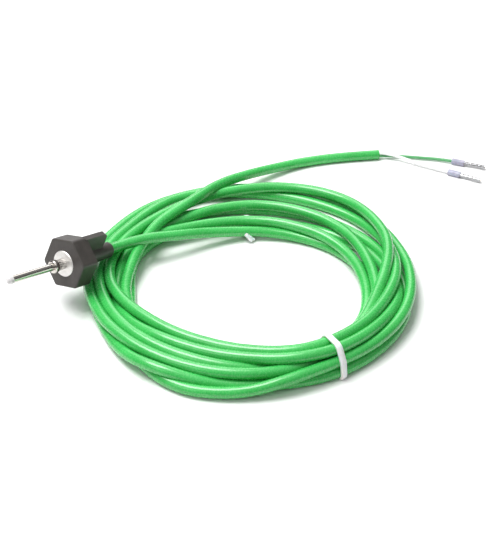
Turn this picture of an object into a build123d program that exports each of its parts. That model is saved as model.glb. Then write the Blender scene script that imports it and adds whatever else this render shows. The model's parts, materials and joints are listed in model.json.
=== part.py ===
"""Flame sensor probe: a steel probe in a black moulded hexagonal grip, on a coiled green two-core lead.

Millimetres, +Z up. The origin is the centre of the grip's front face, where the probe comes out. The lead's coil
lies on a flat surface FLOOR below it, and the boot of the grip rests on the coil, so that the probe points up at
PROBE_TILT, with its tip towards -X.
"""

import os
from math import cos, radians, sin, tan

from build123d import *

# Pose: the height of the origin above the surface, and how far the probe's tip is tipped up
FLOOR = -20.0
PROBE_TILT = 16.0
# The top of the hexagon leans this far towards -Y, about the probe's axis
GRIP_ROLL = 16.3

# Probe, measured along its own axis from the grip's front face towards the tip
TUBE_RADIUS = 1.5
TUBE_BORE = 1.0
# The tube is squeezed to this radius inside the crimp, the plug and the grip
TUBE_ROOT_RADIUS = 1.25
TUBE_FRONT = 26.8
TUBE_BACK = -7.4
TIP_FRONT = 29.0
TIP_SPIGOT = 1.6
INSULATOR_RADIUS = 0.95
INSULATOR_FRONT = 23.6
WIRE_RADIUS = 0.25
WIRE_OFFSET = 0.5
JUNCTION_RADIUS = 0.6
CRIMP_RADIUS = 2.15
CRIMP_FRONT = 3.7
COLLAR_RADIUS = 2.55
COLLAR_FRONT = 6.1

# Metal plug in the front of the grip, its seal and the ring that holds it
PLUG_RADIUS = 5.2
PLUG_PROUD = 0.25
PLUG_DEPTH = 5.0
GROOVE_RADIUS = 4.4
GROOVE_FRONT = -2.2
GROOVE_BACK = -3.7
RETAINER_THICKNESS = 0.6

# Grip: hexagon, one flat fin and a round boot behind it
HEX_ACROSS_FLATS = 19.0
HEX_THICKNESS = 8.0
HEX_CORNER = 1.5
HEX_EDGE = 0.7
FIN_THICKNESS = 2.2
FIN_OUTER = 10.7
FIN_BACK = -19.6
FIN_CORNER = 2.0
BOOT_RADIUS = 3.2
BOOT_ROOT_RADIUS = 3.9
BOOT_BACK = -26.0
CAVITY_RADIUS = 2.7
CAVITY_BACK = -15.0

# Splices and the end of the lead, inside the boot
SPLICE_RADIUS = 0.8
SPLICE_BORE = 0.45
SPLICE_FRONT = -8.6
SPLICE_BACK = -11.8
CORE_SPACING = 0.95
SHEATH_FRONT = -15.0
CLAMP_FRONT = -17.0
CLAMP_BACK = -19.5
CLAMP_RADIUS = 2.75

# Lead
LEAD_DIAMETER = 4.5
CORE_DIAMETER = 1.4
COIL_CENTRE = (54.2, -50.1)
COIL_HEIGHT = 9.4
COIL_EDGE = 2.0
# Outer and inner edge of the bundle: how far each is from the coil's centre, at angles from +X
COIL_OUTER = ((42, 73.0), (7, 72.3), (-23, 70.2), (-53, 67.4), (-83, 67.2), (-114, 67.2), (-143, 69.2),
              (-161, 71.2), (-178, 69.8), (157, 66.8), (127, 66.4), (97, 67.4), (67, 71.2))
COIL_INNER = ((37, 38.0), (-8, 41.0), (-53, 46.0), (-83, 50.0), (-112, 53.5),
              (-143, 50.5), (172, 47.5), (127, 46.5), (82, 40.5))

# The lead from the boot, over the coil and down along its inside
LEAD_IN_ROUTE = ((24.993, 0.0, -7.167), (29.8, 0.0, -8.545), (36, -2.2, -8.7), (43.5, -6.6, -8.6),
                 (53, -12.0, -10.4), (64, -17, -13.0), (74.5, -23.5, -15.5), (82.5, -31, -16.4),
                 (88.5, -40, -17.0), (92.5, -50, -17.7), (94, -60, -17.7), (93, -69.5, -17.7))
# The lead from the top of the coil to its stripped end
TAIL_ROUTE = ((57, -7, -13.5), (66, -4.2, -10.0), (76, -2.2, -8.4), (97, -0.5, -10.6), (116, -3, -14.0),
              (131, -7, -16.4), (145, -12.8, -17.7), (160, -24.5, -17.75), (173.1, -38.0, -17.75))
# The two cores, from the end of the sheath to their ferrules
CORE_ROUTES = {
    "positive": ((173.638, -37.478, -17.75), (176.424, -40.349, -17.75), (180.4, -47.6, -17.3),
                 (185.0, -56.2, -17.5), (188.6, -62.6, -18.1), (190.3, -68.5, -18.6)),
    "negative": ((172.562, -38.522, -17.75), (175.348, -41.393, -17.75), (177.2, -48.6, -18.5),
                 (178.2, -56.6, -18.9), (179.3, -64.4, -18.9), (180.4, -72.0, -18.6)),
}

# Ferrules on the cores
FERRULE_SLEEVE = 6.0
FERRULE_SLEEVE_RADIUS = 1.4
FERRULE_PIN = 10.0
FERRULE_PIN_RADIUS = 0.8
STRAND_RADIUS = 0.5

# Cable ties
TIE_WIDTH = 2.5
TIE_THICKNESS = 1.1
TIE_CORNER = 2.6
FRONT_TIE_ANGLE = -112
FRONT_TIE_INNER = 52.6
FRONT_TIE_OUTER = 67.6
REAR_TIE_ANGLE = 39
REAR_TIE_INNER = 40.5
REAR_TIE_OUTER = 54.5
REAR_TIE_HEIGHT = 8.6


def head_plane():
    """The probe's own frame: Z towards the tip, Y up, origin at the centre of the grip's front face."""
    tilt = radians(PROBE_TILT)
    return Plane(origin=(0, 0, 0), x_dir=(0, -1, 0), z_dir=(-cos(tilt), 0, sin(tilt)))


HEAD = head_plane().location


def disc(radius, back, front, x=0.0):
    """A cylinder about the probe's axis, or beside it at x, from back to front."""
    return Pos(x, 0, back) * Cylinder(radius, front - back, align=(Align.CENTER, Align.CENTER, Align.MIN))


def ring(outer, inner, back, front, x=0.0):
    return disc(outer, back, front, x) - disc(inner, back, front, x)


def bevelled(solid, front, size):
    """The solid with a small bevel round the outer edge of its end at front."""
    edges = solid.edges().filter_by(GeomType.CIRCLE)
    ends = [edge for edge in edges if abs(edge.center().Z - front) < 0.01]
    outer = max(ends, key=lambda edge: edge.radius)
    return chamfer(outer, size)


# ---------------------------------------------------------------- probe

def probe_tube():
    bare = ring(TUBE_RADIUS, TUBE_BORE, COLLAR_FRONT, TUBE_FRONT)
    return bare + ring(TUBE_ROOT_RADIUS, TUBE_BORE, TUBE_BACK, COLLAR_FRONT)


def probe_tip():
    """Rounded bead that closes the tube, with a spigot inside it."""
    spigot = disc(TUBE_BORE, TUBE_FRONT - TIP_SPIGOT, TUBE_FRONT)
    bead = disc(TUBE_RADIUS, TUBE_FRONT, TIP_FRONT)
    rim = bead.edges().filter_by(GeomType.CIRCLE).sort_by(Axis.Z)[-1]
    return spigot + fillet(rim, TUBE_RADIUS - 0.25)


def insulator_core():
    """Ceramic rod with one bore for each thermocouple wire."""
    rod = disc(INSULATOR_RADIUS, TUBE_BACK, INSULATOR_FRONT)
    for side in (-1, 1):
        rod -= disc(WIRE_RADIUS + 0.05, TUBE_BACK, INSULATOR_FRONT, side * WIRE_OFFSET)
    return rod


def hot_junction():
    """Bead welded across the ends of the two wires."""
    middle = (INSULATOR_FRONT + TUBE_FRONT - TIP_SPIGOT) / 2
    return Pos(0, 0, middle) * Sphere(JUNCTION_RADIUS)


def thermo_wire(side):
    """Straight in the ceramic, then a short slope out to its splice."""
    middle = (INSULATOR_FRONT + TUBE_FRONT - TIP_SPIGOT) / 2
    path = FilletPolyline(
        (side * WIRE_OFFSET, 0, middle),
        (side * WIRE_OFFSET, 0, TUBE_BACK),
        (side * CORE_SPACING, 0, SPLICE_FRONT),
        (side * CORE_SPACING, 0, SPLICE_FRONT - 1.4),
        radius=0.6,
    )
    wire = sweep(Plane(origin=path @ 0, z_dir=path % 0) * Circle(WIRE_RADIUS), path=path)
    return wire - hot_junction()


def crimp_sleeve():
    """Crimped sleeve at the probe's root, with flutes pressed into it."""
    sleeve = ring(CRIMP_RADIUS, TUBE_ROOT_RADIUS, PLUG_PROUD, CRIMP_FRONT)
    flutes = 16
    for n in range(flutes):
        flute = Pos(CRIMP_RADIUS + 0.1, 0, 0) * disc(0.28, PLUG_PROUD, CRIMP_FRONT)
        sleeve -= Rot(0, 0, n * 360 / flutes) * flute
    return sleeve


def crimp_collar():
    collar = ring(COLLAR_RADIUS, TUBE_ROOT_RADIUS, CRIMP_FRONT, COLLAR_FRONT)
    outer = [edge for edge in collar.edges().filter_by(GeomType.CIRCLE) if edge.radius > TUBE_RADIUS]
    return fillet(outer, 0.6)


# ---------------------------------------------------------------- plug and grip

def face_plug():
    """Turned plug that fills the front of the grip, grooved for its seal."""
    plug = bevelled(disc(PLUG_RADIUS, -PLUG_DEPTH, PLUG_PROUD), PLUG_PROUD, 0.3)
    plug -= ring(PLUG_RADIUS + 1, GROOVE_RADIUS, GROOVE_BACK, GROOVE_FRONT)
    return plug - disc(TUBE_ROOT_RADIUS, -PLUG_DEPTH, PLUG_PROUD)


def seal_ring():
    """O-ring, squeezed to the section of its groove."""
    seal = ring(PLUG_RADIUS, GROOVE_RADIUS, GROOVE_BACK + 0.1, GROOVE_FRONT - 0.1)
    return fillet(seal.edges().filter_by(GeomType.CIRCLE), 0.25)


def retaining_ring():
    return ring(PLUG_RADIUS, TUBE_RADIUS + 1.0, -PLUG_DEPTH - RETAINER_THICKNESS, -PLUG_DEPTH)


def hexagon_body():
    hexagon = RegularPolygon(HEX_ACROSS_FLATS / 2, 6, major_radius=False, rotation=30)
    body = Pos(0, 0, -HEX_THICKNESS) * extrude(fillet(hexagon.vertices(), HEX_CORNER), HEX_THICKNESS)
    front = body.faces().sort_by(Axis.Z)[-1]
    return fillet(front.edges(), HEX_EDGE)


def fin():
    """Flat fin behind the corner of the hexagon at the top, its rear corner rounded."""
    length = -HEX_THICKNESS - FIN_BACK + 1.0
    plate = Pos(0, (FIN_OUTER + 1.0) / 2, FIN_BACK + length / 2) * Box(FIN_THICKNESS, FIN_OUTER - 1.0, length)
    corner = plate.edges().filter_by(Axis.X).sort_by(Axis.Z)[:2].sort_by(Axis.Y)[-1]
    return fillet(corner, FIN_CORNER)


def boot():
    """Tapered round boot that the lead comes out of."""
    length = -HEX_THICKNESS - BOOT_BACK + 1.0
    taper = Cone(BOOT_RADIUS, BOOT_ROOT_RADIUS, length, align=(Align.CENTER, Align.CENTER, Align.MIN))
    taper = Pos(0, 0, BOOT_BACK) * taper
    rim = taper.edges().filter_by(GeomType.CIRCLE).sort_by(Axis.Z)[0]
    return fillet(rim, 0.5)


def grip_body():
    """Hexagon, fin and boot are one moulding, bored for the plug, the splices and the lead."""
    body = hexagon_body() + fin() + boot()
    body -= disc(PLUG_RADIUS, -PLUG_DEPTH - RETAINER_THICKNESS, 0)
    body -= disc(CAVITY_RADIUS, CAVITY_BACK, -PLUG_DEPTH - RETAINER_THICKNESS)
    body -= disc(LEAD_DIAMETER / 2, BOOT_BACK, CAVITY_BACK)
    return body - disc(CLAMP_RADIUS, CLAMP_BACK, CLAMP_FRONT)


# ---------------------------------------------------------------- inside the boot

def splice_crimp(side):
    return ring(SPLICE_RADIUS, SPLICE_BORE, SPLICE_BACK, SPLICE_FRONT, side * CORE_SPACING)


def core_end(side):
    """End of one core of the lead: insulated from the sheath, then its strands in the splice."""
    insulated = disc(CORE_DIAMETER / 2, SHEATH_FRONT, SPLICE_BACK, side * CORE_SPACING)
    strands = disc(SPLICE_BORE, SPLICE_BACK, SPLICE_BACK + 1.4, side * CORE_SPACING)
    return insulated + strands


def sheath_root():
    """The lead's sheath, inside the boot."""
    return disc(LEAD_DIAMETER / 2, BOOT_BACK, SHEATH_FRONT)


def clamp_ring():
    """Crimped ring that keeps the lead from being pulled out of the boot."""
    return ring(CLAMP_RADIUS, LEAD_DIAMETER / 2, CLAMP_BACK, CLAMP_FRONT)


def potting_fill(inner_pieces):
    """Resin round the splices."""
    fill = disc(CAVITY_RADIUS, SHEATH_FRONT, -PLUG_DEPTH - RETAINER_THICKNESS)
    for piece in inner_pieces:
        fill -= piece
    return max(fill.solids(), key=lambda solid: solid.volume)


# ---------------------------------------------------------------- lead

def route_radii(points):
    """The largest arc at each point that its two runs leave room for."""
    places = [Vector(*point) for point in points]
    radii = []
    for before, here, after in zip(places, places[1:], places[2:]):
        turn = (here - before).get_angle(after - here)
        shorter = min((here - before).length, (after - here).length)
        radii.append(0.45 * shorter / tan(radians(turn) / 2))
    return radii


def tube_along(name, points, diameter):
    """A round tube of straight runs joined by tangent arcs. Its radii and volume are printed as a check."""
    radii = route_radii(points)
    path = FilletPolyline(*points, radius=radii)
    tube = sweep(Plane(origin=path @ 0, z_dir=path % 0) * Circle(diameter / 2), path=path)
    expected = path.length * 3.14159 * diameter ** 2 / 4
    print(name, "length", round(path.length, 1), "volume ratio", round(tube.volume / expected, 4),
          "radii", [round(radius) for radius in radii])
    return tube


def coil_place(angle):
    """A frame on the surface at the coil's centre, X pointing outwards at the angle."""
    return Pos(COIL_CENTRE[0], COIL_CENTRE[1], FLOOR) * Rot(0, 0, angle)


def outline(edge):
    """The closed smooth outline through the points of one edge of the bundle."""
    points = []
    for angle, distance in edge:
        points.append((distance * cos(radians(angle)), distance * sin(radians(angle))))
    return make_face(Spline(*points, periodic=True))


def cord_coil():
    """The outer shape of the coiled turns: narrow at the front tie, fanned out opposite."""
    rim = extrude(outline(COIL_OUTER), COIL_HEIGHT)
    rim = chamfer(rim.edges().filter_by(Plane.XY), COIL_EDGE)
    coil = rim - extrude(outline(COIL_INNER), COIL_HEIGHT)
    coil = Pos(COIL_CENTRE[0], COIL_CENTRE[1], FLOOR) * coil
    return coil - cable_tie_front() - cable_tie_rear()


def tie_loop(angle, inner, outer, top):
    """A flat band round the turns, in the upright plane at the angle, standing on the surface."""
    width = outer - inner
    section = RectangleRounded(width, top, TIE_CORNER)
    inside = RectangleRounded(width - 2 * TIE_THICKNESS, top - 2 * TIE_THICKNESS, TIE_CORNER - TIE_THICKNESS)
    band = extrude(section - inside, TIE_WIDTH / 2, both=True)
    upright = Pos((inner + outer) / 2, 0, top / 2) * Rot(90, 0, 0)
    return coil_place(angle) * upright * band


def tie_loop_front():
    return tie_loop(FRONT_TIE_ANGLE, FRONT_TIE_INNER, FRONT_TIE_OUTER, COIL_HEIGHT)


def tie_loop_rear():
    return tie_loop(REAR_TIE_ANGLE, REAR_TIE_INNER, REAR_TIE_OUTER, REAR_TIE_HEIGHT)


def cable_tie_front():
    """Loop, with its head and short cut end on the inside of the coil."""
    head = coil_place(FRONT_TIE_ANGLE) * Pos(50.6, 0, 4.6) * Box(4.0, 4.6, 4.2)
    cut_end = coil_place(FRONT_TIE_ANGLE) * Pos(50.6, 0, 8.3) * Box(1.1, TIE_WIDTH, 3.2)
    return tie_loop_front() + head + cut_end


def cable_tie_rear():
    """Loop round the lower turns, with its cut end out under the lead on the inside."""
    strap = Pos(36.0, 0, TIE_THICKNESS / 2) * Box(11.2, TIE_WIDTH, TIE_THICKNESS)
    cut_end = Pos(30.4, 0, 1.6) * Box(1.2, TIE_WIDTH, 3.2)
    return tie_loop_rear() + coil_place(REAR_TIE_ANGLE) * (strap + cut_end)


# ---------------------------------------------------------------- ends of the cores

def ferrule_frame(route):
    """The last run of the core points along the ferrule's axis, levelled."""
    end = Vector(*route[-1])
    before = Vector(*route[-2])
    along = Vector(end.X - before.X, end.Y - before.Y, 0).normalized()
    return Plane(origin=end, z_dir=along).location


def ferrule_sleeve(place):
    sleeve = ring(FERRULE_SLEEVE_RADIUS, FERRULE_PIN_RADIUS, 0, FERRULE_SLEEVE)
    sleeve -= disc(CORE_DIAMETER / 2 + 0.2, 0, 1.2)
    return place * bevelled(sleeve, 0, 0.3)


def ferrule_pin(place):
    """Tinned tube through the sleeve, its front end squeezed flat in four steps."""
    pin = ring(FERRULE_PIN_RADIUS, STRAND_RADIUS, 1.2, FERRULE_SLEEVE + FERRULE_PIN)
    for n in range(4):
        notch = Pos(0, 0, FERRULE_SLEEVE + 1.6 + 2.2 * n) * Box(3, 3, 0.8)
        notch -= Pos(0, 0, FERRULE_SLEEVE + 1.6 + 2.2 * n) * Box(3, 1.3, 0.8)
        pin -= notch
    return place * pin


def ferrule_strands(place):
    """Bare strands of the core, inside the pin."""
    return place * disc(STRAND_RADIUS, 1.2, FERRULE_SLEEVE + FERRULE_PIN)


# ---------------------------------------------------------------- all pieces

def head_pieces():
    grip_roll = Rot(0, 0, -GRIP_ROLL)
    splices = {
        "thermo_wire_positive": thermo_wire(1),
        "thermo_wire_negative": thermo_wire(-1),
        "splice_crimp_positive": splice_crimp(1),
        "splice_crimp_negative": splice_crimp(-1),
        "core_end_positive": core_end(1),
        "core_end_negative": core_end(-1),
    }
    tube = probe_tube()
    insulator = insulator_core()
    pieces = {
        "probe_tube": tube,
        "probe_tip": probe_tip(),
        "insulator_core": insulator,
        "hot_junction": hot_junction(),
        "crimp_sleeve": crimp_sleeve(),
        "crimp_collar": crimp_collar(),
        "face_plug": face_plug(),
        "seal_ring": seal_ring(),
        "retaining_ring": retaining_ring(),
        "grip_body": grip_roll * grip_body(),
        "sheath_root": sheath_root(),
        "clamp_ring": clamp_ring(),
        "potting_fill": potting_fill([*splices.values(), tube, insulator]),
        **splices,
    }
    return {name: HEAD * piece for name, piece in pieces.items()}


def lead_pieces():
    pieces = {
        "cord_coil": cord_coil(),
        "cord_lead_in": tube_along("cord_lead_in", LEAD_IN_ROUTE, LEAD_DIAMETER),
        "cord_tail": tube_along("cord_tail", TAIL_ROUTE, LEAD_DIAMETER),
        "cable_tie_front": cable_tie_front(),
        "cable_tie_rear": cable_tie_rear(),
    }
    for polarity, route in CORE_ROUTES.items():
        place = ferrule_frame(route)
        pieces["core_" + polarity] = tube_along("core_" + polarity, route, CORE_DIAMETER)
        pieces["ferrule_sleeve_" + polarity] = ferrule_sleeve(place)
        pieces["ferrule_pin_" + polarity] = ferrule_pin(place)
        pieces["ferrule_strands_" + polarity] = ferrule_strands(place)
    return pieces


os.makedirs("parts", exist_ok=True)
for name, piece in {**head_pieces(), **lead_pieces()}.items():
    export_step(piece, "parts/" + name + ".step")
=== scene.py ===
"""Looks of the flame sensor probe: a steel probe in a black moulded grip, on a coiled green two-core lead.

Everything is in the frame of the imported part, with its origin at the centre of the grip's front face. Blender
works in metres. Sizes and places here are in millimetres unless their names or comments say otherwise.
"""

import json
import math

import bmesh
import bpy
import numpy as np
from mathutils import Matrix, Vector


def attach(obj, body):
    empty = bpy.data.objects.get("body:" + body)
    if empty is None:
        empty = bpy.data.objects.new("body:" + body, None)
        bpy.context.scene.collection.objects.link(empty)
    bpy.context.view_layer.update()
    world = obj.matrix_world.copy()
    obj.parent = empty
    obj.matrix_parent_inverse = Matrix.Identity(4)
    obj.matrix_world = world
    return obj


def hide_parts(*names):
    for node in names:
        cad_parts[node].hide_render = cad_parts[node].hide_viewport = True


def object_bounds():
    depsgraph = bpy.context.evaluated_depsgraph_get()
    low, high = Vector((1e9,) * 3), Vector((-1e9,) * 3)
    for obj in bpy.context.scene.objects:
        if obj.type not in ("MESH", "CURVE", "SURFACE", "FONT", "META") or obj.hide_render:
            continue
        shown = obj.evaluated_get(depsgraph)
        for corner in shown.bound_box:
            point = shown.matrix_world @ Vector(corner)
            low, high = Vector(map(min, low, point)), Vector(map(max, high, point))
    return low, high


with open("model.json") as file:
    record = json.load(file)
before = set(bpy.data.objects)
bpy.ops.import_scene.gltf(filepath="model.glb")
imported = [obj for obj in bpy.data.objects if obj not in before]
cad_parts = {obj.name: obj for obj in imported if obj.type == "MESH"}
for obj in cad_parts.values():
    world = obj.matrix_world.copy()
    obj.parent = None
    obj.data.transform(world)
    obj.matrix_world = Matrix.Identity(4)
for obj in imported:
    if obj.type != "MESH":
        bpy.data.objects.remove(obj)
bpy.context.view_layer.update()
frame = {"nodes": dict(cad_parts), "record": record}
nodes = frame["nodes"]

MM = 0.001
# Height of the surface that the object lies on
FLOOR = -20.0
# The probe's tip points up by this many degrees
PROBE_TILT = 16.0


def added(name, data):
    """An object with that data, linked to the scene."""
    made = bpy.data.objects.new(name, data)
    bpy.context.scene.collection.objects.link(made)
    return made


# ---------------------------------------------------------------- lead: where it runs

LEAD_DIAMETER = 4.5
CORE_DIAMETER = 1.4
COIL_CENTRE = (54.2, -50.1)
# The coil's own zero angle, in degrees from +X
COIL_TURN = -52.8

LEAD_IN_ROUTE = [
    (24.993, 0.0, -7.167), (29.8, 0.0, -8.545), (36, -2.2, -8.7), (43.5, -6.6, -8.6), (53, -12.0, -10.4),
    (64, -17, -13.0), (74.5, -23.5, -15.5), (82.5, -31, -16.4), (88.5, -40, -17.0), (92.5, -50, -17.7),
    (94, -60, -17.7), (93, -69.5, -17.7),
]
TAIL_ROUTE = [
    (76, -2.2, -8.4), (97, -0.5, -10.6), (116, -3, -14.0), (131, -7, -16.4), (145, -12.8, -17.7),
    (160, -24.5, -17.75), (173.1, -38.0, -17.75),
]
# The cores leave the end of the sheath one above the other
CORE_ROUTES = {
    "positive": [(172.75, -37.64, -18.5), (175.9, -40.9, -18.6), (180.6, -47.6, -18.9),
                 (185.2, -56.2, -18.9), (188.6, -62.6, -18.8), (190.3, -68.5, -18.6)],
    "negative": [(172.75, -37.64, -17.0), (175.1, -41.0, -16.9), (177.2, -48.6, -17.6),
                 (178.2, -56.6, -18.5), (179.3, -64.4, -18.8), (180.4, -72.0, -18.6)],
}

# Where each loose turn runs: (angle in degrees, distance from the coil's centre, height above the surface).
# The turns go clockwise, seen from above, and each begins where the one before it ends.
TURNS = [
    [(10, 46.8, 2.3), (-5, 49.6, 2.3), (-20, 52.5, 2.3), (-40, 56, 2.3), (-61, 57.0, 2.3), (-75, 57.5, 3.2),
     (-90, 58.3, 5), (-105, 58.4, 6.3), (-120, 58, 6.4), (-135, 58.3, 6.3), (-150, 59.3, 6.3),
     (-165, 60.5, 6.3)],
    [(180, 61.8, 6.2), (165, 61.4, 6.6), (152, 59.8, 7.2), (140, 61.2, 7.0), (130, 63.6, 6.3),
     (120, 66.5, 5.3), (108, 67.8, 3.8), (95, 67.3, 2.6), (80, 66.3, 2.3), (60, 65.4, 2.3), (45, 65.2, 2.3),
     (32, 63.8, 3.0), (20, 61.8, 5.2), (8, 60.2, 7.0), (-8, 58.3, 8.6), (-20, 56.8, 9.0), (-30, 56.4, 9.4),
     (-45, 57.2, 10), (-61, 57.3, 10.1), (-70, 56.8, 9.8), (-80, 54.5, 9), (-90, 52.3, 8.3),
     (-100, 50.7, 7.9), (-110, 49.2, 7.6), (-120, 48.9, 7.5), (-130, 49.1, 7.4), (-140, 49.9, 7.3),
     (-150, 51.6, 7.2), (-160, 53.9, 7.2), (-172, 56.4, 7)],
    [(175, 57.6, 7.0), (165, 57.4, 6.9), (150, 55.0, 8.0), (138, 54.6, 8.2), (126, 56.3, 7.4),
     (116, 58.4, 6.8), (106, 60.6, 6.7), (97, 62.6, 6.6), (88, 64.6, 6.6), (80, 66.5, 6.5), (70, 68.4, 6.3),
     (60, 69.6, 6.3), (50, 69, 6.7), (40, 66.6, 7.5), (30, 63.4, 8.8), (20, 60.8, 10), (10, 57.9, 10.5),
     (0, 55.3, 10.3), (-10, 53.6, 9.6), (-20, 53.0, 8.5), (-32, 53.8, 7.4), (-45, 55.4, 6.6),
     (-61, 58.6, 6.2), (-75, 61, 6.2), (-90, 61.9, 6.2), (-105, 62.3, 6.2), (-120, 62.4, 6.2),
     (-135, 63.1, 6.2), (-150, 64, 6.2), (-165, 64.4, 6.0)],
    [(180, 65.8, 5.6), (165, 66.2, 5.6), (155, 65.4, 5.8), (145, 65.7, 5.7), (135, 67.2, 5), (125, 69, 3.8),
     (115, 70.6, 2.6), (100, 71.2, 2.3), (80, 71, 2.3), (60, 70.6, 2.3), (45, 70, 2.3), (30, 68.3, 2.3),
     (20, 67, 2.6), (10, 65.9, 4), (0, 65, 5.8), (-15, 64.8, 6.5), (-30, 64.7, 6.6), (-45, 64.1, 6.6),
     (-61, 63.8, 6.4), (-70, 64.2, 5.8), (-80, 65.6, 4.8), (-90, 67, 2.8), (-102, 68.8, 2.3),
     (-110, 69.5, 2.3), (-118, 68.6, 2.3), (-126, 66.5, 2.3), (-135, 63.8, 2.3), (-145, 61.2, 2.3),
     (-155, 59.6, 2.3), (-170, 58.6, 2.3)],
    [(175, 58.4, 2.3), (160, 59.0, 2.3), (145, 58.8, 2.3), (130, 57, 2.3), (110, 54.6, 2.3), (90, 53.4, 2.3),
     (70, 54, 2.3), (50, 55.3, 2.3), (35, 57, 2.3), (20, 59, 2.3), (5, 61.2, 2.3), (-8, 63.3, 2.3),
     (-20, 64.9, 2.3), (-30, 65, 2.3), (-45, 64.6, 2.3), (-61, 64.2, 2.3), (-75, 63.5, 2.3),
     (-90, 63.5, 2.3), (-100, 64.3, 2.6), (-110, 66, 4.2), (-120, 67.6, 6), (-130, 66.8, 4.6),
     (-140, 64.6, 2.7), (-150, 63, 2.3), (-165, 62.8, 2.3)],
    [(180, 62.4, 2.6), (168, 60.8, 4), (155, 57.5, 5), (143, 52.6, 4.6), (132, 49.2, 5.4), (120, 48.8, 6.1),
     (108, 49.7, 6.2), (90, 50.9, 6.2), (70, 51.3, 6.2), (50, 50.8, 6.2), (35, 50.1, 6.2), (20, 49.5, 6.2),
     (8, 49.4, 6.2), (-5, 50.5, 5.9), (-18, 52.6, 4.6), (-32, 56.2, 3.2), (-45, 59.5, 2.4), (-61, 60.6, 2.3),
     (-80, 59.5, 2.3), (-100, 59.8, 2.3), (-120, 59.6, 2.3), (-140, 56.0, 2.3), (-160, 51.5, 2.3),
     (-172, 49.6, 2.3)],
    [(175, 49.9, 2.3), (160, 51.4, 2.3), (145, 50.6, 2.3), (130, 48.2, 2.3), (115, 45.4, 2.3),
     (102, 43.4, 2.3), (90, 42.9, 2.3), (70, 43.8, 2.3), (50, 47.2, 2.3), (35, 50.6, 2.3),
     (20, 54.0, 2.3), (10, 55.8, 2.7), (0, 57.8, 4.1), (-10, 60.0, 5.6),
     (-20, 60.9, 6.9), (-30, 60.9, 8), (-45, 61.3, 9.6), (-61, 61.5, 10), (-75, 59.2, 9), (-90, 55.4, 7.6),
     (-110, 53.3, 7), (-120, 53.4, 6.9), (-130, 54.2, 6.6), (-140, 55.0, 5.4), (-150, 55.0, 4),
     (-162, 54.3, 2.8), (-175, 54, 2.3)],
    [(175, 54.2, 2.6), (164, 54.4, 4.4), (152, 51.0, 6.3), (140, 45.6, 6.6), (128, 41.8, 6.4),
     (116, 39.8, 6.3), (100, 38.5, 6.2), (80, 38.1, 6.2), (60, 38.8, 6.2), (45, 40.2, 6.1), (30, 42.2, 5.7),
     (15, 44.6, 4.8), (0, 47.0, 3.8), (-15, 49.5, 2.8), (-30, 51.8, 2.3), (-45, 52.6, 2.3), (-61, 52.8, 2.3),
     (-80, 53.6, 2.3), (-100, 54.4, 2.3), (-118, 54.2, 2.3), (-130, 52.4, 2.3), (-140, 50.8, 2.6),
     (-150, 51.0, 3.1), (-160, 51.5, 3.9), (-170, 50.8, 5.3), (-180, 49.2, 6.6), (-190, 48.4, 7.7),
     (-200, 48.2, 8.8), (-210, 48.4, 9.9), (-220, 49.5, 10.6)],
]


# Degrees between two control points of the coil
TURN_STEP = 10


def turn_points():
    """Points every few degrees round all the turns, on a smooth curve through the places in TURNS."""
    places = [(a - 360 * k, r, z) for k, turn in enumerate(TURNS) for a, r, z in turn]
    angle = np.array([p[0] for p in places], float)
    value = np.array([p[1:] for p in places], float)
    gap = np.diff(angle)[:, None]
    rise = np.diff(value, axis=0) / gap
    between = (rise[:-1] * gap[1:] + rise[1:] * gap[:-1]) / (gap[:-1] + gap[1:])
    slope = np.vstack([rise[:1], between, rise[-1:]])
    points = []
    for a in np.linspace(angle[0], angle[-1], round((angle[0] - angle[-1]) / TURN_STEP) + 1):
        i = min(max(int(np.searchsorted(-angle, -a)) - 1, 0), len(angle) - 2)
        h = angle[i + 1] - angle[i]
        t = (a - angle[i]) / h
        # cubic Hermite curve between the two places on either side
        r, z = (
            (2 * t**3 - 3 * t**2 + 1) * value[i]
            + (t**3 - 2 * t**2 + t) * h * slope[i]
            + (3 * t**2 - 2 * t**3) * value[i + 1]
            + (t**3 - t**2) * h * slope[i + 1]
        )
        turned = math.radians(a + COIL_TURN)
        x, y = COIL_CENTRE[0] + r * math.cos(turned), COIL_CENTRE[1] + r * math.sin(turned)
        points.append((x, y, FLOOR + z))
    return points


SETTLE_ROUNDS = 150
# Points this near along the lead never push each other
SAME_STRETCH = 6
# Share of an overlap that a round undoes, of a new bend that it smooths, and of a move that it takes back
PUSH, SMOOTH, PULL = 0.45, 0.25, 0.06


def settle(points, held):
    """Pushes the turns apart where they lie in each other, keeps their bends smooth and draws them back.

    The result is a balance, so turns that cross closely still overlap a little."""
    target = np.array(points, float)
    now = target.copy()
    index = np.arange(len(now))
    apart = np.abs(index[:, None] - index[None, :]) > SAME_STRETCH
    for _ in range(SETTLE_ROUNDS):
        away = now[:, None, :] - now[None, :, :]
        distance = np.linalg.norm(away, axis=2) + 1e-9
        gap = np.where(apart & (distance < LEAD_DIAMETER), (LEAD_DIAMETER - distance) / distance, 0.0)
        moved = now + (away * gap[:, :, None]).sum(1) * PUSH
        bend = (moved[:-2] + moved[2:]) / 2 - moved[1:-1] - (target[:-2] + target[2:]) / 2 + target[1:-1]
        moved[1:-1] += SMOOTH * bend
        moved += PULL * (target - moved)
        moved[:, 2] = np.maximum(moved[:, 2], FLOOR + LEAD_DIAMETER / 2)
        moved[held] = target[held]
        now = moved
    return [tuple(p) for p in now]


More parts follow.
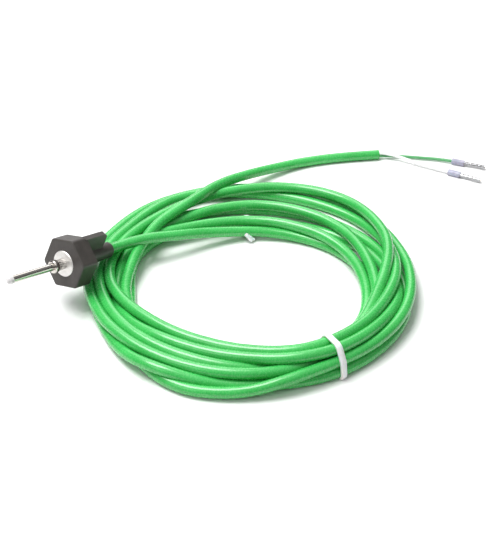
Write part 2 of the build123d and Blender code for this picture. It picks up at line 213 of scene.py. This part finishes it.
def cord_curve(name, points, diameter, smooth, round_steps):
    """A round cord on one open NURBS spline with those control points.

    smooth: steps from one point to the next. round_steps: steps round its section, as Blender counts them."""
    data = bpy.data.curves.new(name, "CURVE")
    data.dimensions = "3D"
    spline = data.splines.new("NURBS")
    spline.points.add(len(points) - 1)
    for place, point in zip(spline.points, points):
        place.co = (point[0] * MM, point[1] * MM, point[2] * MM, 1.0)
    spline.order_u = 3
    spline.use_endpoint_u = True
    spline.resolution_u = smooth
    data.bevel_depth = diameter * MM / 2
    data.bevel_resolution = round_steps
    data.use_fill_caps = True
    return added(name, data)


def centre_line(cord):
    """The points along a cord's spline, in millimetres."""
    bare = bpy.data.objects.new("bare", cord.data.copy())
    bare.data.bevel_depth = 0
    mesh = bpy.data.meshes.new_from_object(bare)
    points = np.array([v.co for v in mesh.vertices], float) / MM
    bpy.data.meshes.remove(mesh)
    bpy.data.curves.remove(bare.data)
    return points


# ---------------------------------------------------------------- materials


def node(tree, kind, **settings):
    """A new shader node with those properties set."""
    made = tree.nodes.new(kind)
    for key, value in settings.items():
        setattr(made, key, value)
    return made


def place_in(tree, scale=(1, 1, 1), head=False):
    """Object coordinates in millimetres, in the probe's own frame where head is set: Z along the probe."""
    coordinates = node(tree, "ShaderNodeTexCoord")
    out = coordinates.outputs["Object"]
    if head:
        turn = node(tree, "ShaderNodeMapping", vector_type="POINT")
        turn.inputs["Rotation"].default_value = (0, math.radians(90 - PROBE_TILT), 0)
        tree.links.new(out, turn.inputs["Vector"])
        out = turn.outputs["Vector"]
    mapping = node(tree, "ShaderNodeMapping", vector_type="POINT")
    mapping.inputs["Scale"].default_value = [s / MM for s in scale]
    tree.links.new(out, mapping.inputs["Vector"])
    return mapping.outputs["Vector"]


def noise(tree, vector, scale, detail, roughness=0.55):
    """Noise with that many features to the millimetre."""
    made = node(tree, "ShaderNodeTexNoise")
    made.inputs["Scale"].default_value = scale
    made.inputs["Detail"].default_value = detail
    made.inputs["Roughness"].default_value = roughness
    tree.links.new(vector, made.inputs["Vector"])
    return made.outputs["Fac"]


# Most of a noise's values lie between these two
NOISE_LOW, NOISE_HIGH = 0.3, 0.7


def spread_to(tree, value, lowest, highest):
    """A noise's value, spread to lowest..highest."""
    made = node(tree, "ShaderNodeMapRange")
    made.inputs["From Min"].default_value = NOISE_LOW
    made.inputs["From Max"].default_value = NOISE_HIGH
    made.inputs["To Min"].default_value = lowest
    made.inputs["To Max"].default_value = highest
    tree.links.new(value, made.inputs["Value"])
    return made.outputs["Result"]


def ramp(tree, value, stops):
    """Colours by value: stops are (value, colour)."""
    made = node(tree, "ShaderNodeValToRGB")
    line = made.color_ramp
    while len(line.elements) < len(stops):
        line.elements.new(0.5)
    for element, (at, colour) in zip(line.elements, stops):
        element.position = at
        element.color = (*colour, 1.0)
    tree.links.new(value, made.inputs["Fac"])
    return made.outputs["Color"]


def bump(tree, height, strength, depth, before=None):
    """A bump that deep, on top of the one before it."""
    made = node(tree, "ShaderNodeBump")
    made.inputs["Strength"].default_value = strength
    made.inputs["Distance"].default_value = depth * MM
    tree.links.new(height, made.inputs["Height"])
    if before is not None:
        tree.links.new(before, made.inputs["Normal"])
    return made.outputs["Normal"]


def surface(name, colours, rough, grain, metallic=0.0, stretch=(1, 1, 1), head=False, fixed=None):
    """A shader whose colour, roughness and bump all come from noise.

    colours: darker and lighter colour. rough: lowest and highest roughness.
    grain: (coarse scale, fine scale, bump strength, bump depth). stretch: the noise's density along each axis.
    head: in the probe's own frame. fixed: sockets with one value all over."""
    made = bpy.data.materials.new(name)
    made.use_nodes = True
    tree = made.node_tree
    shader = tree.nodes["Principled BSDF"]
    shader.inputs["Metallic"].default_value = metallic
    for key, value in (fixed or {}).items():
        shader.inputs[key].default_value = value
    vector = place_in(tree, stretch, head)
    coarse, fine, strength, depth = grain
    broad = noise(tree, vector, coarse, 3.0)
    small = noise(tree, vector, fine, 6.0, 0.6)
    shade = ramp(tree, broad, [(NOISE_LOW, colours[0]), (NOISE_HIGH, colours[1])])
    tree.links.new(shade, shader.inputs["Base Color"])
    tree.links.new(spread_to(tree, small, *rough), shader.inputs["Roughness"])
    normal = bump(tree, small, strength, depth)
    normal = bump(tree, broad, strength * 0.5, depth * 4, normal)
    tree.links.new(normal, shader.inputs["Normal"])
    return made


def turned_steel():
    """Satin face with fine circular tool marks about the probe's axis."""
    made = surface("satin_steel", ((0.80, 0.78, 0.75), (0.93, 0.91, 0.89)), (0.42, 0.58), (0.5, 7, 0.1, 0.01),
                   metallic=1.0, head=True)
    tree = made.node_tree
    shader = tree.nodes["Principled BSDF"]
    vector = place_in(tree, (1, 1, 0), head=True)
    length = node(tree, "ShaderNodeVectorMath", operation="LENGTH")
    tree.links.new(vector, length.inputs[0])
    combine = node(tree, "ShaderNodeCombineXYZ")
    tree.links.new(length.outputs["Value"], combine.inputs["X"])
    marks = noise(tree, combine.outputs["Vector"], 5.5, 2.0)
    before = shader.inputs["Normal"].links[0].from_socket
    tree.links.new(bump(tree, marks, 0.35, 0.02, before), shader.inputs["Normal"])
    return made


# One material for each slot of the part
MATERIALS = {
    "polished_steel": surface("polished_steel", ((0.50, 0.47, 0.43), (0.74, 0.71, 0.67)), (0.10, 0.22),
                              (1.1, 5, 0.12, 0.01), metallic=1.0, stretch=(1, 1, 0.04), head=True),
    "crimped_steel": surface("crimped_steel", ((0.40, 0.38, 0.36), (0.80, 0.78, 0.75)), (0.16, 0.34),
                             (0.8, 6, 0.4, 0.03), metallic=1.0, head=True),
    "satin_steel": turned_steel(),
    "pale_ceramic": surface("pale_ceramic", ((0.56, 0.54, 0.55), (0.80, 0.78, 0.78)), (0.12, 0.26),
                            (0.9, 8, 0.15, 0.01), fixed={"Coat Weight": 0.5, "Coat Roughness": 0.08}),
    "white_ceramic": surface("white_ceramic", ((0.74, 0.71, 0.64), (0.86, 0.84, 0.79)), (0.6, 0.8),
                             (0.8, 9, 0.3, 0.02)),
    "thermocouple_alloy": surface("thermocouple_alloy", ((0.38, 0.36, 0.33), (0.58, 0.55, 0.51)), (0.25, 0.4),
                                  (1.2, 8, 0.2, 0.01), metallic=1.0),
    "tinned_metal": surface("tinned_metal", ((0.34, 0.34, 0.35), (0.62, 0.62, 0.63)), (0.12, 0.28),
                            (0.9, 6, 0.35, 0.02), metallic=1.0),
    "black_plastic": surface("black_plastic", ((0.046, 0.040, 0.037), (0.062, 0.055, 0.050)), (0.36, 0.52),
                             (0.25, 3.4, 0.28, 0.05), fixed={"Specular IOR Level": 0.5}),
    "seal_rubber": surface("seal_rubber", ((0.02, 0.02, 0.02), (0.04, 0.04, 0.04)), (0.5, 0.7),
                           (0.5, 6, 0.2, 0.03)),
    "potting_resin": surface("potting_resin", ((0.09, 0.08, 0.07), (0.14, 0.13, 0.12)), (0.3, 0.5),
                             (0.6, 5, 0.2, 0.03)),
    "green_sheath": surface("green_sheath", ((0.037, 0.440, 0.078), (0.053, 0.520, 0.105)), (0.22, 0.32),
                            (0.09, 1.6, 0.07, 0.05), fixed={"Specular IOR Level": 0.6, "Coat Weight": 0.35,
                                                            "Coat Roughness": 0.2}),
    "green_core": surface("green_core", ((0.09, 0.36, 0.14), (0.14, 0.48, 0.19)), (0.28, 0.42),
                          (0.2, 4, 0.2, 0.02)),
    "white_core": surface("white_core", ((0.90, 0.90, 0.90), (0.95, 0.95, 0.95)), (0.3, 0.42),
                          (0.2, 4, 0.2, 0.02)),
    "lilac_plastic": surface("lilac_plastic", ((0.34, 0.34, 0.44), (0.50, 0.50, 0.62)), (0.24, 0.38),
                             (0.35, 5, 0.2, 0.02),
                             fixed={"Subsurface Weight": 0.15, "Subsurface Scale": 0.001}),
    "bare_strands": surface("bare_strands", ((0.52, 0.40, 0.26), (0.74, 0.60, 0.44)), (0.25, 0.42),
                            (1.2, 9, 0.5, 0.03), metallic=1.0),
    "white_nylon": surface("white_nylon", ((0.84, 0.85, 0.85), (0.92, 0.93, 0.92)), (0.30, 0.45),
                           (0.3, 4, 0.25, 0.03), fixed={"Subsurface Weight": 0.2, "Subsurface Scale": 0.001}),
}

for part in frame["record"]["subparts"]:
    shown = nodes[part["node"]]
    if not shown.material_slots:
        shown.data.materials.append(None)
    for place in shown.material_slots:
        place.material = MATERIALS[part["material_slot"]]


def dressed(piece, slot, *replaced):
    """The piece gets its slot's material, rides on the one body and stands for the nodes named."""
    if not piece.material_slots:
        piece.data.materials.append(MATERIALS[slot])
    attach(piece, "root")
    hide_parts(*replaced)
    return piece


# ---------------------------------------------------------------- cords

# Control points at the end of the last turn, where it comes up between the others, that stay where they are
HELD_AT_COIL_END = 9

route = LEAD_IN_ROUTE + turn_points() + TAIL_ROUTE
# the lead-in and the tail stay where they are too
held = [*range(len(LEAD_IN_ROUTE)), *range(len(route) - len(TAIL_ROUTE) - HELD_AT_COIL_END, len(route))]
lead = cord_curve("lead", settle(route, held), LEAD_DIAMETER, smooth=6, round_steps=6)
dressed(lead, "green_sheath", "cord_lead_in", "cord_coil", "cord_tail")

for polarity, core_route in CORE_ROUTES.items():
    core = cord_curve("lead_core_" + polarity, core_route, CORE_DIAMETER, smooth=16, round_steps=4)
    slot = "green_core" if polarity == "positive" else "white_core"
    dressed(core, slot, "core_" + polarity)


# ---------------------------------------------------------------- cable ties

TIE_WIDTH = 2.5
TIE_THICKNESS = 1.0
# Between a band and the strands that it goes round
TIE_GAP = 0.03
# Width of the bevel along a band's outer edges, and how far its outer face is crowned
TIE_BEVEL = 0.25
TIE_CROWN = 0.06
# Steps round a band
TIE_STEPS = 96
# How far a band stays above the surface
TIE_LIFT = 0.02
# Boxes of a tie's head: centre, and size, each (out, across, up)
TIE_HEAD = [
    # ratchet head
    ((0, 0, 0), (3.6, 4.4, 3.4)),
    # rim of its slot
    ((0, 0, 1.75), (2.6, 3.2, 0.5)),
    # pawl
    ((0.5, 0, -1.8), (1.5, 2.0, 0.6)),
]
# Ribs across the strap's cut end
RIB_SPACING = 0.8
RIB_LENGTH = 0.4
RIB_HEIGHT = 0.3
RIB_SEAT = 0.55
RIB_SHARE = 0.6
# One run of the cut end laps over the next by this much
TAIL_LAP = 0.5

lead_line = centre_line(lead)


def strands_at(angle, nearest, furthest, top):
    """(distance from the coil's centre, height above the surface) of each strand that crosses the plane.

    Only strands between nearest and furthest from the centre, and lower than top, are counted."""
    turned = math.radians(angle)
    out = np.array([math.cos(turned), math.sin(turned)])
    across = np.array([-out[1], out[0]])
    flat = lead_line[:, :2] - np.array(COIL_CENTRE)
    side, distance, height = flat @ across, flat @ out, lead_line[:, 2] - FLOOR
    found = []
    for i in range(len(flat) - 1):
        if side[i] * side[i + 1] <= 0 and distance[i] > 0 and side[i] != side[i + 1]:
            t = side[i] / (side[i] - side[i + 1])
            r = distance[i] + t * (distance[i + 1] - distance[i])
            z = height[i] + t * (height[i + 1] - height[i])
            if nearest < r < furthest and z < top:
                found.append((r, z))
    return found


def piece_from(name, build):
    """A smooth mesh object, filled by the function build."""
    mesh = bpy.data.meshes.new(name)
    built = bmesh.new()
    build(built)
    bmesh.ops.recalc_face_normals(built, faces=built.faces)
    built.to_mesh(mesh)
    built.free()
    for face in mesh.polygons:
        face.use_smooth = True
    return added(name, mesh)


def add_box(built, centre, size, turn):
    """A box with its edges bevelled. Its centre is in the tie's own frame: (out, across, up)."""
    shape = bmesh.ops.create_cube(built, size=1.0)
    verts = shape["verts"]
    bmesh.ops.scale(built, vec=size, verts=verts)
    bmesh.ops.rotate(built, verts=verts, matrix=turn)
    bmesh.ops.translate(built, vec=centre, verts=verts)
    edges = list({edge for vert in verts for edge in vert.link_edges})
    bmesh.ops.bevel(built, geom=edges, offset=0.18 * min(size), segments=2, profile=0.6, affect="EDGES")


def tie(name, angle, round_strands, head_at, tail_points, node_name):
    """A band drawn tight round the strands, with its head and its cut end on the inside of the coil.

    round_strands: (nearest, furthest, top) of the strands inside it. head_at: (out, up, lean in degrees).
    tail_points: (out, across, up) along the cut end."""
    strands = strands_at(angle, *round_strands)
    rows = []
    for k in range(TIE_STEPS):
        u = 2 * math.pi * k / TIE_STEPS
        reach = max(strands, key=lambda s: s[0] * math.cos(u) + s[1] * math.sin(u))
        rows.append((reach, (math.cos(u), math.sin(u))))

    def build(built):
        inner, outer = LEAD_DIAMETER / 2 + TIE_GAP, LEAD_DIAMETER / 2 + TIE_THICKNESS
        half = TIE_WIDTH / 2
        # section of the band, round its edge: (how far out, how far across)
        section = [(inner, -half), (inner, half), (outer - TIE_BEVEL, half), (outer, half - TIE_BEVEL),
                   (outer + TIE_CROWN, 0), (outer, TIE_BEVEL - half), (outer - TIE_BEVEL, -half)]
        rings = []
        for (r, z), (c, s) in rows:
            rings.append([built.verts.new((r + c * d, w, max(z + s * d, TIE_LIFT))) for d, w in section])
        for a, b in zip(rings, rings[1:] + rings[:1]):
            for i in range(len(section)):
                j = (i + 1) % len(section)
                built.faces.new((a[i], b[i], b[j], a[j]))
        r, z, lean = head_at
        turn = Matrix.Rotation(math.radians(lean), 3, "Y")
        for centre, size in TIE_HEAD:
            add_box(built, Vector((r, 0, z)) + turn @ Vector(centre), size, turn)
        # strap's cut end, ribbed across
        points = [Vector(p) for p in tail_points]
        for a, b in zip(points, points[1:]):
            run = b - a
            bend = run.to_track_quat("X", "Z").to_matrix()
            add_box(built, (a + b) / 2, (run.length + TAIL_LAP, TIE_WIDTH, TIE_THICKNESS), bend)
            ribs = int(run.length / RIB_SPACING)
            for n in range(ribs):
                spot = a + run * ((n + 0.5) / ribs) + bend @ Vector((0, 0, RIB_SEAT))
                add_box(built, spot, (RIB_LENGTH, TIE_WIDTH * RIB_SHARE, RIB_HEIGHT), bend)

    piece = piece_from(name, build)
    foot = Matrix.Translation(Vector((*COIL_CENTRE, FLOOR)) * MM)
    piece.data.transform(foot @ Matrix.Rotation(math.radians(angle), 4, "Z") @ Matrix.Scale(MM, 4))
    return dressed(piece, "white_nylon", node_name)


# round the whole bundle
front_tie = tie("tie_front", COIL_TURN - 59.5, (30, 75, 30), (50.6, 5.2, 0),
                [(50.6, 0, 6.4), (50.3, 0, 7.4)], "cable_tie_front")
# round one low strand, with its cut end out on the inside of the coil
rear_tie = tie("tie_rear", COIL_TURN + 91.8, (40, 46, 4), (37.9, 2.2, 4),
               [(36.3, 0, 0.7), (34.0, -0.6, 0.6), (30.6, -2.0, 1.4), (31.4, 0.6, 4.0)], "cable_tie_rear")

# ---------------------------------------------------------------- floor, light and camera, in metres

low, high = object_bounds()
middle = (low + high) / 2

# From the middle of the floor to each of its sides
FLOOR_REACH = 4.0
corners = [(middle.x + x * FLOOR_REACH, middle.y + y * FLOOR_REACH, FLOOR * MM)
           for x, y in ((-1, -1), (1, -1), (1, 1), (-1, 1))]
floor_mesh = bpy.data.meshes.new("floor")
floor_mesh.from_pydata(corners, [], [(0, 1, 2, 3)])
floor_mesh.materials.append(surface("floor", ((0.90, 0.90, 0.90), (0.92, 0.92, 0.92)), (0.6, 0.8),
                                    (0.01, 0.2, 0.02, 0.02)))
added("floor", floor_mesh)

# Grey of the studio by height, from the horizon up, and how bright it is
SKY_GREYS = [(0.0, 0.10), (0.3, 0.14), (0.62, 0.40), (0.85, 0.75)]
SKY_STRENGTH = 0.85

world = bpy.data.worlds.new("studio")
bpy.context.scene.world = world
world.use_nodes = True
sky = world.node_tree
coordinates = node(sky, "ShaderNodeTexCoord")
split = node(sky, "ShaderNodeSeparateXYZ")
sky.links.new(coordinates.outputs["Generated"], split.inputs["Vector"])
glow = ramp(sky, split.outputs["Z"], [(height, (grey,) * 3) for height, grey in SKY_GREYS])
sky.links.new(glow, sky.nodes["Background"].inputs["Color"])
sky.nodes["Background"].inputs["Strength"].default_value = SKY_STRENGTH


def softbox(name, direction, distance, size, power):
    """A square light that far from the middle of the object, turned towards it."""
    data = bpy.data.lights.new(name, "AREA")
    data.size = size
    data.energy = power
    light = added(name, data)
    away = Vector(direction).normalized()
    light.location = middle + away * distance
    light.rotation_mode = "QUATERNION"
    light.rotation_quaternion = away.to_track_quat("Z", "Y")


softbox("overhead", direction=(-0.15, 0.35, 1.0), distance=0.8, size=0.45, power=7.4)
softbox("back", direction=(0.64, 0.6, 0.62), distance=1.0, size=0.6, power=2.6)
softbox("left", direction=(-1.0, 0.15, 0.7), distance=0.9, size=0.35, power=0.8)

CAMERA_PLACE = (-0.23365, -0.26677, 0.24964)
CAMERA_LOOKS_ALONG = (0.6403, 0.4860, -0.5948)
# The sensor's width and the focal length, in millimetres
SENSOR_WIDTH = 36.0
FOCAL_LENGTH = 70.97

camera_data = bpy.data.cameras.new("camera")
camera_data.sensor_width = SENSOR_WIDTH
camera_data.lens = FOCAL_LENGTH
camera = added("camera", camera_data)
camera.location = CAMERA_PLACE
camera.rotation_mode = "QUATERNION"
camera.rotation_quaternion = Vector(CAMERA_LOOKS_ALONG).to_track_quat("-Z", "Y")
bpy.context.scene.camera = camera
bpy.context.scene.view_settings.view_transform = "Standard"
